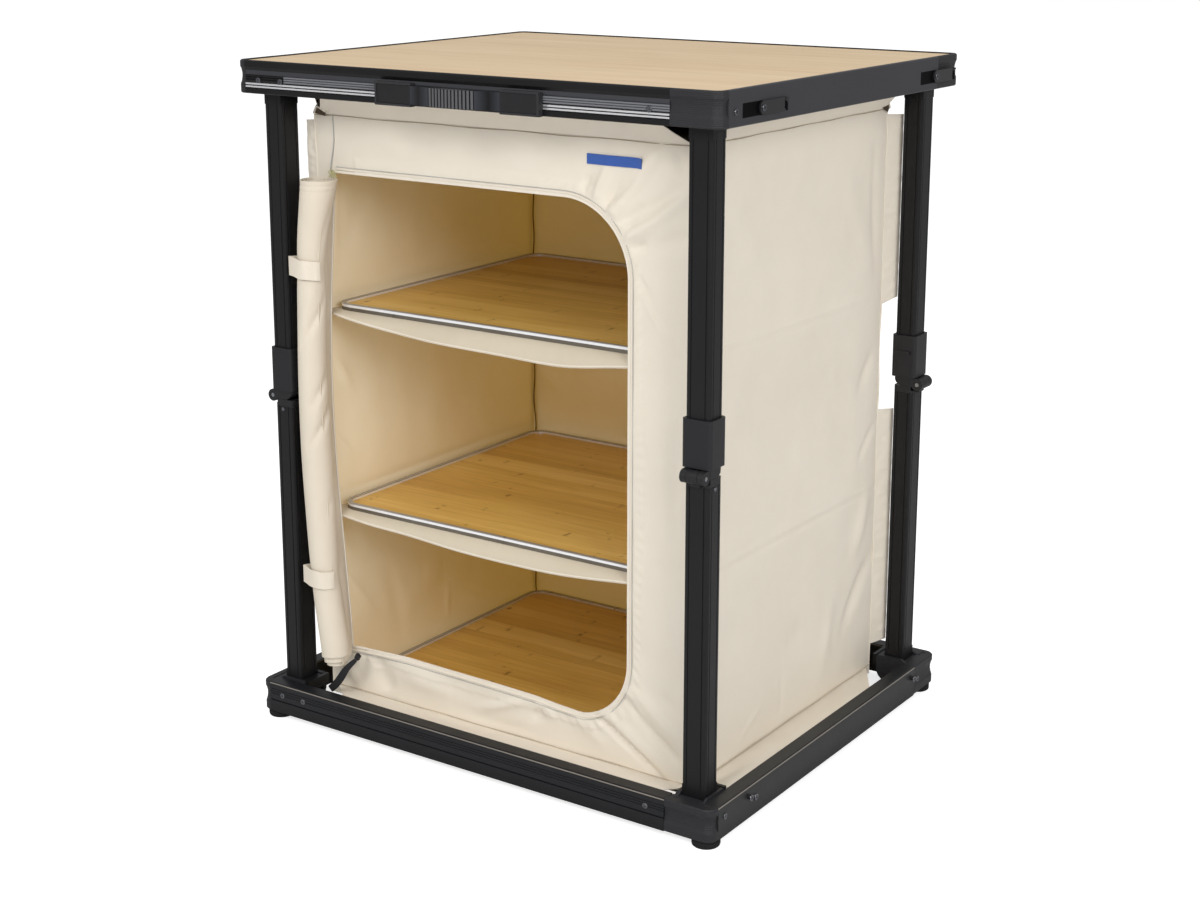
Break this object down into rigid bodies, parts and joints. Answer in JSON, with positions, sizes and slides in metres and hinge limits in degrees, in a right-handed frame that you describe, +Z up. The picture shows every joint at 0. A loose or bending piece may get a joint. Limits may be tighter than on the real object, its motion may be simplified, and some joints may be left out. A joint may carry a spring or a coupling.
{
  "type": "folding camping cupboard",
  "caption": "Folding camping cupboard: black frames on hinged legs, a wood-look worktop and a cream cloth cabinet with shelves behind a rolled-up door.",
  "frame": {"origin": "on the ground under the middle of the object's box", "axes": "+Z up, -Y towards the door opening and the carrying handle, +X to the right as seen from the front"},
  "size_m": [0.6662, 0.5765, 0.82],
  "materials": {
    "black_aluminium": "black anodised, satin",
    "black_plastic": "matt moulded",
    "bright_steel": "plain",
    "wood_panel": "pale wood-look laminate",
    "bamboo": "clear lacquered bamboo",
    "silver_tube": "bright, satin",
    "cream_cloth": "woven polyester, matt",
    "black_rubber": "matt"
  },
  "bodies": {
    "base": {"base_rail_front": "black_aluminium", "base_rail_right": "black_aluminium", "base_rail_rear": "black_aluminium", "base_rail_left": "black_aluminium", "base_corner_fr": "black_plastic", "base_corner_rr": "black_plastic", "base_corner_rl": "black_plastic", "base_corner_fl": "black_plastic", "foot_fr": "black_rubber", "foot_rr": "black_rubber", "foot_rl": "black_rubber", "foot_fl": "black_rubber", "fabric_cabinet": "cream_cloth", "door_roll": "cream_cloth", "shelf_board_lower": "bamboo", "shelf_frame_lower": "silver_tube"},
    "lower_fr": {"lower_leg_fr": "black_aluminium", "knee_lower_fr": "black_plastic", "knee_pin_fr": "bright_steel"},
    "lower_rr": {"lower_leg_rr": "black_aluminium", "knee_lower_rr": "black_plastic", "knee_pin_rr": "bright_steel"},
    "lower_rl": {"lower_leg_rl": "black_aluminium", "knee_lower_rl": "black_plastic", "knee_pin_rl": "bright_steel"},
    "lower_fl": {"lower_leg_fl": "black_aluminium", "knee_lower_fl": "black_plastic", "knee_pin_fl": "bright_steel"},
    "upper_fr": {"upper_leg_fr": "black_aluminium", "knee_upper_fr": "black_plastic"},
    "upper_rr": {"upper_leg_rr": "black_aluminium", "knee_upper_rr": "black_plastic"},
    "upper_rl": {"upper_leg_rl": "black_aluminium", "knee_upper_rl": "black_plastic"},
    "upper_fl": {"upper_leg_fl": "black_aluminium", "knee_upper_fl": "black_plastic"},
    "sleeve_fr": {"sleeve_fr": "black_plastic"},
    "sleeve_rr": {"sleeve_rr": "black_plastic"},
    "sleeve_rl": {"sleeve_rl": "black_plastic"},
    "sleeve_fl": {"sleeve_fl": "black_plastic"},
    "top": {"top_rail_front": "black_aluminium", "top_rail_right": "black_aluminium", "top_rail_rear": "black_aluminium", "top_rail_left": "black_aluminium", "top_corner_fr": "black_plastic", "top_corner_rr": "black_plastic", "top_corner_rl": "black_plastic", "top_corner_fl": "black_plastic", "table_top": "wood_panel", "handle_bracket_left": "black_plastic", "handle_bracket_right": "black_plastic"},
    "handle": {"handle_strap": "black_plastic"},
    "catch_front_right": {"catch_front_right": "black_plastic"},
    "catch_rear_right": {"catch_rear_right": "black_plastic"},
    "catch_front_left": {"catch_front_left": "black_plastic"},
    "catch_rear_left": {"catch_rear_left": "black_plastic"},
    "shelf_middle": {"shelf_board_middle": "bamboo", "shelf_frame_middle": "silver_tube"},
    "shelf_upper": {"shelf_board_upper": "bamboo", "shelf_frame_upper": "silver_tube"}
  },
  "joints": [
    {"name": "fold", "type": "hinge", "parent": "base", "child": "lower_fr", "pos_m": [0.293, -0.23175, 0.033], "axis": [-1, 0, 0], "range_deg": [0, 90], "deforming": ["fabric_cabinet", "door_roll"]},
    {"name": "knee_fr", "type": "hinge", "parent": "lower_fr", "child": "upper_fr", "pos_m": [0.293, -0.25475, 0.41375], "axis": [1, 0, 0], "range_deg": [0, 180]},
    {"name": "head_fr", "type": "hinge", "parent": "upper_fr", "child": "top", "pos_m": [0.293, -0.23175, 0.7945], "axis": [-1, 0, 0], "range_deg": [0, 90]},
    {"name": "foot_hinge_rr", "type": "hinge", "parent": "base", "child": "lower_rr", "pos_m": [0.29, 0.25125, 0.033], "axis": [0, -1, 0], "range_deg": [0, 90]},
    {"name": "knee_rr", "type": "hinge", "parent": "lower_rr", "child": "upper_rr", "pos_m": [0.313, 0.25125, 0.41375], "axis": [0, 1, 0], "range_deg": [0, 180]},
    {"name": "foot_hinge_rl", "type": "hinge", "parent": "base", "child": "lower_rl", "pos_m": [-0.293, 0.24825, 0.033], "axis": [1, 0, 0], "range_deg": [0, 90]},
    {"name": "knee_rl", "type": "hinge", "parent": "lower_rl", "child": "upper_rl", "pos_m": [-0.293, 0.27125, 0.41375], "axis": [-1, 0, 0], "range_deg": [0, 180]},
    {"name": "foot_hinge_fl", "type": "hinge", "parent": "base", "child": "lower_fl", "pos_m": [-0.29, -0.23475, 0.033], "axis": [0, 1, 0], "range_deg": [0, 90]},
    {"name": "knee_fl", "type": "hinge", "parent": "lower_fl", "child": "upper_fl", "pos_m": [-0.313, -0.23475, 0.41375], "axis": [0, -1, 0], "range_deg": [0, 180]},
    {"name": "shelf_middle_drop", "type": "slide", "parent": "base", "child": "shelf_middle", "axis": [0, 0, -1], "range_m": [0, 0.1997]},
    {"name": "shelf_upper_drop", "type": "slide", "parent": "base", "child": "shelf_upper", "axis": [0, 0, -1], "range_m": [0, 0.4415]},
    {"name": "sleeve_fr_lift", "type": "slide", "parent": "upper_fr", "child": "sleeve_fr", "axis": [0, 0, 1], "range_m": [0, 0.045]},
    {"name": "sleeve_rr_lift", "type": "slide", "parent": "upper_rr", "child": "sleeve_rr", "axis": [0, 0, 1], "range_m": [0, 0.045]},
    {"name": "sleeve_rl_lift", "type": "slide", "parent": "upper_rl", "child": "sleeve_rl", "axis": [0, 0, 1], "range_m": [0, 0.045]},
    {"name": "sleeve_fl_lift", "type": "slide", "parent": "upper_fl", "child": "sleeve_fl", "axis": [0, 0, 1], "range_m": [0, 0.045]},
    {"name": "catch_front_right_turn", "type": "hinge", "parent": "top", "child": "catch_front_right", "pos_m": [0.33, -0.19225, 0.7971], "axis": [-1, 0, 0], "range_deg": [0, 90]},
    {"name": "catch_rear_right_turn", "type": "hinge", "parent": "top", "child": "catch_rear_right", "pos_m": [0.33, 0.21875, 0.7971], "axis": [-1, 0, 0], "range_deg": [0, 90]},
    {"name": "catch_rear_left_turn", "type": "hinge", "parent": "top", "child": "catch_rear_left", "pos_m": [-0.33, 0.20875, 0.7971], "axis": [1, 0, 0], "range_deg": [0, 90]},
    {"name": "catch_front_left_turn", "type": "hinge", "parent": "top", "child": "catch_front_left", "pos_m": [-0.33, -0.20225, 0.7971], "axis": [1, 0, 0], "range_deg": [0, 90]},
    {"name": "handle_pull", "type": "slide", "parent": "top", "child": "handle", "axis": [0, -1, 0], "range_m": [0, 0.004]}
  ],
  "couplings": [
    {"joint": "knee_fr", "follows": "fold", "ratio": 2},
    {"joint": "head_fr", "follows": "fold", "ratio": 1},
    {"joint": "foot_hinge_rr", "follows": "fold", "ratio": 1},
    {"joint": "knee_rr", "follows": "fold", "ratio": 2},
    {"joint": "foot_hinge_rl", "follows": "fold", "ratio": 1},
    {"joint": "knee_rl", "follows": "fold", "ratio": 2},
    {"joint": "foot_hinge_fl", "follows": "fold", "ratio": 1},
    {"joint": "knee_fl", "follows": "fold", "ratio": 2},
    {"joint": "shelf_middle_drop", "follows": "fold", "m_per_rad": 0.12707},
    {"joint": "shelf_upper_drop", "follows": "fold", "m_per_rad": 0.281}
  ]
}
